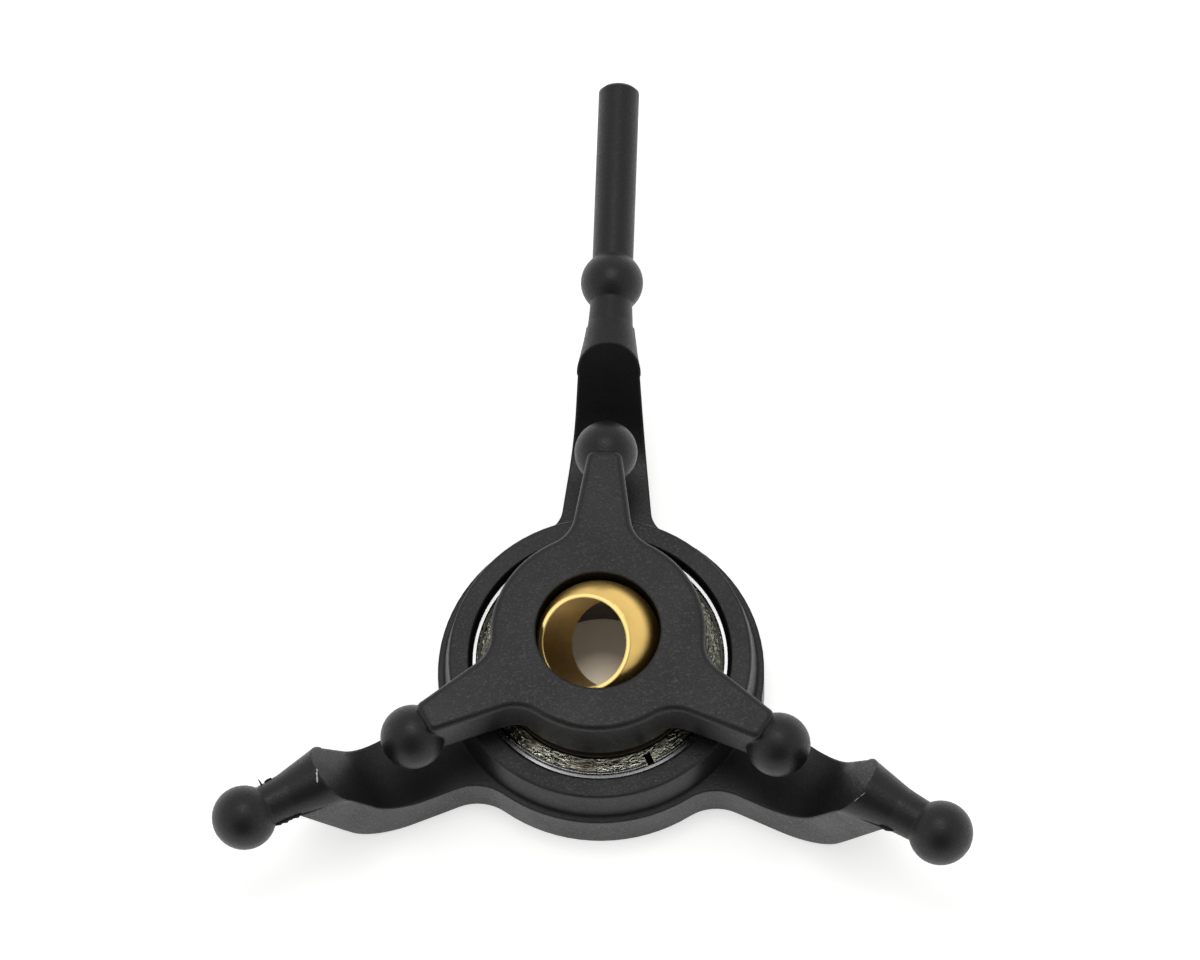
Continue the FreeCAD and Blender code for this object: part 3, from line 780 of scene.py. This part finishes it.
class SWASHPLATE_OT_uniball(Operator):
    """Finish the uniball as turned, gold-coloured metal"""
    bl_idname = "swashplate.uniball"
    bl_label = "Finish the uniball"

    @staticmethod
    def find_rim(axis):
        """The middle radius of the uniball's flat end, and its height along the ball's own axis."""
        corners = [vertex.co for vertex in NODES["uniball"].data.vertices]
        rise = max(corner.dot(axis) for corner in corners)
        end = [corner.cross(axis).length for corner in corners
               if corner.dot(axis) > FLAT_END * rise]
        return (min(end) + max(end)) / 2, rise

    def execute(self, context):
        finish = context.scene.swashplate_metal
        axis = Vector(frame["record"]["mounts"][0]["axis"])
        turn = axis.rotation_difference(Vector((0, 0, 1))).to_euler()
        material = make_turned_metal("gold_finish", finish.gold_colour, finish.gold_roughness,
                                     bpy.data.node_groups["Soft edges"], finish.gold_edge, turn,
                                     rim=(*self.find_rim(axis), finish.rim_polish_and_highlight))
        dress(material, "uniball")
        return {"FINISHED"}


class SWASHPLATE_OT_bearing(Operator):
    """Finish the bearing's races, shields and snap rings"""
    bl_idname = "swashplate.bearing"
    bl_label = "Finish the bearing"

    def execute(self, context):
        finish = context.scene.swashplate_metal
        edges = bpy.data.node_groups["Soft edges"]
        shield_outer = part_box("upper_shield")[1].x
        shield_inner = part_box("bearing_inner_race")[1].x
        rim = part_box("bearing_outer_race")[1].x - shield_outer
        # The outer race's painted highlight band, and the snap rings' painted shade behind their
        # front.
        band = (shield_outer + rim * BAND_PLACE, rim * BAND_HALF_WIDTH)
        front = [share * shield_outer for share in SPRING_FRONT]
        steel = make_turned_metal("race_finish", finish.steel_colour, finish.steel_roughness,
                                  edges, RACE_EDGE, band=band)
        # The inner race's dark colour is painted shade under the hub.
        dark_race = make_turned_metal("inner_race_finish", finish.dark_race_colour,
                                   finish.steel_roughness * INNER_RACE_ROUGHNESS,
                                   edges, INNER_RACE_EDGE)
        spring = make_turned_metal("snap_ring_finish", finish.spring_colour,
                                   finish.steel_roughness * SPRING_ROUGHNESS,
                                   edges, SPRING_EDGE, front=front)
        dress(steel, "bearing_outer_race")
        dress(dark_race, "bearing_inner_race")
        dress(spring, "upper_snap_ring", "lower_snap_ring")
        dress(make_shield_metal("shield_finish", finish.shield_colour, shield_inner, shield_outer),
              "upper_shield", "lower_shield")
        return {"FINISHED"}


# ---- studio -----------------------------------------------------------------------------------

FLOOR_SIZE = 4.0
FLOOR_GAP = 0.00001
SOFTBOX_PLACE = (-0.03, 0.15, 0.72)
SOFTBOX_SIZE = 0.26
SIDE_CARD_PLACE = (-0.46, -0.17, 0.5)
SIDE_CARD_SIZE = 0.22
NEAREST, FARTHEST = 0.01, 10.0

# The middle of the studio's dark side, half way from the floor to the camera, and how nearly a
# way has to point there for the dark to begin and to be full.
FRONT = (0.0, -0.84, 0.54)
FRONT_FADE = (0.7, 0.92)

# How steeply up the room's walls begin to give way to what is overhead, and where they end.
WALL_TOP = (0.2, 0.8)


def add_lamp(name, place, size, power):
    """A square lamp that faces the object."""
    lamp = bpy.data.lights.new(name, "AREA")
    lamp.size = size
    lamp.energy = power
    holder = bpy.data.objects.new(name, lamp)
    holder.location = place
    holder.rotation_euler = (-Vector(place)).to_track_quat("-Z", "Y").to_euler()
    bpy.context.scene.collection.objects.link(holder)


def add_camera(settings):
    """Stand the camera on its line of sight, turned by its roll."""
    side, rise = settings.azimuth, settings.elevation
    back = Vector((math.sin(side) * math.cos(rise), -math.cos(side) * math.cos(rise),
                   math.sin(rise)))
    level = Vector((math.cos(side), math.sin(side), 0))
    right = level * math.cos(settings.roll) + back.cross(level) * math.sin(settings.roll)
    turn = Matrix((right, back.cross(right), back)).transposed()
    camera = bpy.data.cameras.new("studio_camera")
    camera.sensor_width = 36
    camera.lens = settings.focal_length
    camera.clip_start, camera.clip_end = NEAREST, FARTHEST
    holder = bpy.data.objects.new("studio_camera", camera)
    holder.matrix_world = Matrix.Translation(Vector(settings.aim) + back * settings.distance) \
        @ turn.to_4x4()
    bpy.context.scene.collection.objects.link(holder)
    bpy.context.scene.camera = holder


def light_room(settings):
    """Even light from all round but the dark front, where the camera stands; it shows as white."""
    world = bpy.data.worlds.new("studio_room")
    world.use_nodes = True
    tree = world.node_tree
    tree.nodes.clear()
    way = tree.nodes.new("ShaderNodeTexCoord").outputs["Generated"]
    rise = split_place(tree, way)["Z"]
    walls = span(tree, rise, *WALL_TOP, settings.room_sides, settings.room)
    front = add_node(tree, "ShaderNodeVectorMath", {0: way, 1: FRONT}, operation="DOT_PRODUCT")
    shade = span(tree, front.outputs["Value"], *FRONT_FADE)
    level = blend_values(tree, shade, walls, settings.room_front)
    seen = tree.nodes.new("ShaderNodeLightPath").outputs["Is Camera Ray"]
    room = add_node(tree, "ShaderNodeBackground", {
        "Strength": blend_values(tree, seen, level, 1.0)})
    output = tree.nodes.new("ShaderNodeOutputWorld")
    tree.links.new(room.outputs[0], output.inputs["Surface"])
    bpy.context.scene.world = world


class SWASHPLATE_OT_stage(Operator):
    """Lay the floor, hang the lamps and stand the camera"""
    bl_idname = "swashplate.stage"
    bl_label = "Set the stage"

    def execute(self, context):
        settings = context.scene.swashplate_studio
        context.scene.view_settings.view_transform = "Standard"
        bpy.ops.object.select_all(action="DESELECT")
        bpy.ops.mesh.primitive_plane_add(size=FLOOR_SIZE,
                                         location=(0, 0, CAD_BOUNDS[0].z - FLOOR_GAP))
        floor = context.object
        bpy.ops.object.transform_apply(location=True, rotation=False, scale=False)
        floor.name = "studio_floor"
        floor.data.materials.append(make_floor_material(settings))
        light_room(settings)
        add_lamp("softbox", SOFTBOX_PLACE, SOFTBOX_SIZE, settings.softbox)
        add_lamp("side_card", SIDE_CARD_PLACE, SIDE_CARD_SIZE, settings.side_card)
        add_camera(settings)
        return {"FINISHED"}


class SWASHPLATE_PT_panel(Panel):
    """Lists the swashplate's settings and steps"""
    bl_idname = "SWASHPLATE_PT_panel"
    bl_label = "Swashplate"
    bl_space_type = "VIEW_3D"
    bl_region_type = "UI"
    bl_category = "Swashplate"

    def draw(self, context):
        for owner in SETTINGS:
            settings = getattr(context.scene, owner)
            for name in settings.bl_rna.properties.keys()[2:]:
                self.layout.prop(settings, name)
        for step in STEPS:
            self.layout.operator(step.bl_idname)


SETTINGS = {
    "swashplate_nylon": NylonFinish,
    "swashplate_marks": MouldingMarks,
    "swashplate_metal": MetalFinish,
    "swashplate_studio": StudioSettings,
}
STEPS = (SWASHPLATE_OT_nylon, SWASHPLATE_OT_flash, SWASHPLATE_OT_nicks, SWASHPLATE_OT_uniball,
         SWASHPLATE_OT_bearing, SWASHPLATE_OT_stage)


def register():
    for kind in (*SETTINGS.values(), *STEPS, SWASHPLATE_PT_panel):
        bpy.utils.register_class(kind)
    for name, kind in SETTINGS.items():
        setattr(bpy.types.Scene, name, PointerProperty(type=kind))


def unregister():
    for name in SETTINGS:
        delattr(bpy.types.Scene, name)
    for kind in (SWASHPLATE_PT_panel, *reversed(STEPS), *SETTINGS.values()):
        bpy.utils.unregister_class(kind)


def main():
    """Register, and take every step in order."""
    register()
    for step in STEPS:
        group, name = step.bl_idname.split(".")
        getattr(getattr(bpy.ops, group), name)()


if __name__ == "__main__":
    main()
